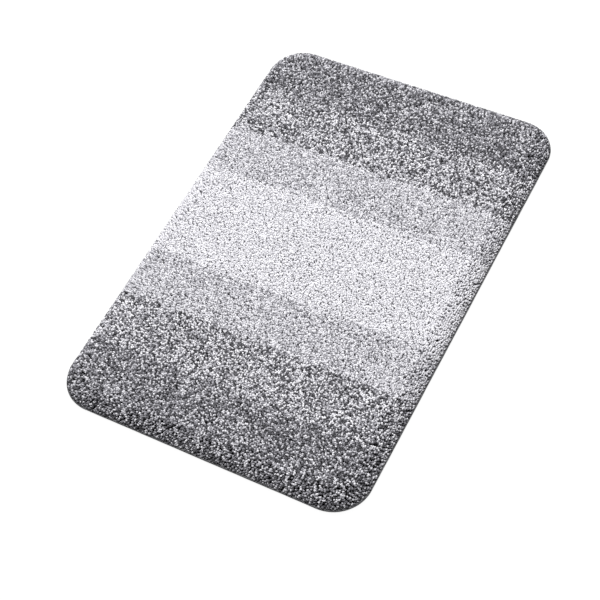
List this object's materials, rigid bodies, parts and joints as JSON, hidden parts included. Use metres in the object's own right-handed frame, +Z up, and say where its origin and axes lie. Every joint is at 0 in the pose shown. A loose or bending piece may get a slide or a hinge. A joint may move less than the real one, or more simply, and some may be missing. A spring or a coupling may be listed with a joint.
{
  "type": "bath mat",
  "caption": "Rectangular tufted cut-pile bath mat with rounded corners, bands of mottled grey and white pile, a bound edge and an anti-slip underside.",
  "frame": {"origin": "centre of the underside, on the floor", "axes": "+X across the width, +Y along the length towards the rear edge, +Z up out of the pile"},
  "size_m": [0.6, 0.9, 0.025],
  "materials": {
    "pile_dark": "cut-pile yarn, dark grey melange",
    "pile_mid": "cut-pile yarn, mid grey melange",
    "pile_light": "cut-pile yarn, light grey melange",
    "pile_white": "cut-pile yarn, near white",
    "backing_cloth": "plain-woven backing cloth",
    "precoat": "matt latex",
    "antislip": "soft matt latex",
    "binding_tape": "woven tape",
    "thread": "twisted polyester thread",
    "label": "blank satin ribbon"
  },
  "bodies": {
    "root": {"pile_band_front_dark": "pile_dark", "pile_band_front_mid": "pile_mid", "pile_band_front_light": "pile_light", "pile_band_centre_white": "pile_white", "pile_band_rear_light": "pile_light", "pile_band_rear_mid": "pile_mid", "pile_band_rear_dark": "pile_dark", "primary_backing": "backing_cloth", "latex_precoat": "precoat", "antislip_coat": "antislip", "edge_binding": "binding_tape", "hem_needle_thread": "thread", "hem_bobbin_thread": "thread", "care_label": "label"}
  },
  "joints": []
}
